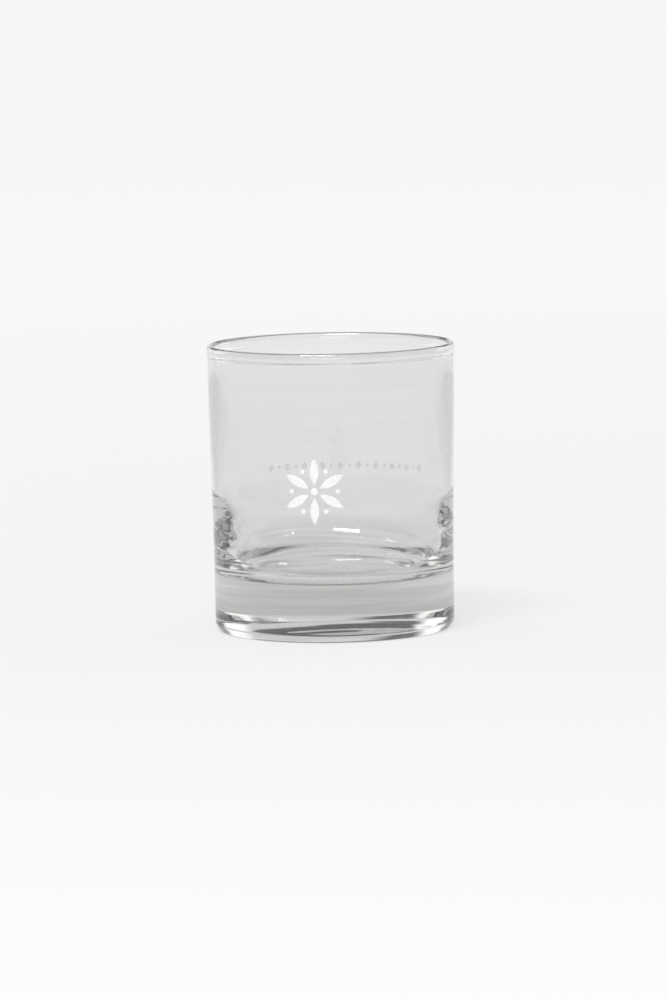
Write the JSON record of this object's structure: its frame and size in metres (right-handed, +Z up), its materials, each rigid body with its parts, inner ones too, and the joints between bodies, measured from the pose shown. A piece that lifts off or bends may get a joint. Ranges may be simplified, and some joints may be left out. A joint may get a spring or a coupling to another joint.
{
  "type": "glass tumbler",
  "caption": "Heavy-based clear glass tumbler with a beaded lip, a thick rounded bowl floor and white enamel ornament printed on the front and back of the wall",
  "frame": {"origin": "centre of the foot ring, on the surface that the tumbler stands on", "axes": "+Z up along the tumbler's axis, -Y the front with the rosette, +Y the back with the border"},
  "size_m": [0.0804, 0.0804, 0.093],
  "materials": {
    "clear_glass": "polished",
    "white_enamel": "satin"
  },
  "bodies": {
    "root": {"glass_body": "clear_glass", "rosette_centre": "white_enamel", "rosette_petal_1": "white_enamel", "rosette_petal_2": "white_enamel", "rosette_petal_3": "white_enamel", "rosette_petal_4": "white_enamel", "rosette_petal_5": "white_enamel", "rosette_petal_6": "white_enamel", "rosette_dot_1": "white_enamel", "rosette_dot_2": "white_enamel", "rosette_dot_3": "white_enamel", "rosette_dot_4": "white_enamel", "rosette_dot_5": "white_enamel", "rosette_dot_6": "white_enamel", "border_lozenge_1": "white_enamel", "border_lozenge_2": "white_enamel", "border_lozenge_3": "white_enamel", "border_lozenge_4": "white_enamel", "border_lozenge_5": "white_enamel", "border_lozenge_6": "white_enamel", "border_lozenge_7": "white_enamel", "border_lozenge_8": "white_enamel", "border_lozenge_9": "white_enamel", "border_lozenge_10": "white_enamel", "border_dot_1": "white_enamel", "border_dot_2": "white_enamel", "border_dot_3": "white_enamel", "border_dot_4": "white_enamel", "border_dot_5": "white_enamel", "border_dot_6": "white_enamel", "border_dot_7": "white_enamel", "border_dot_8": "white_enamel", "border_dot_9": "white_enamel"}
  },
  "joints": []
}
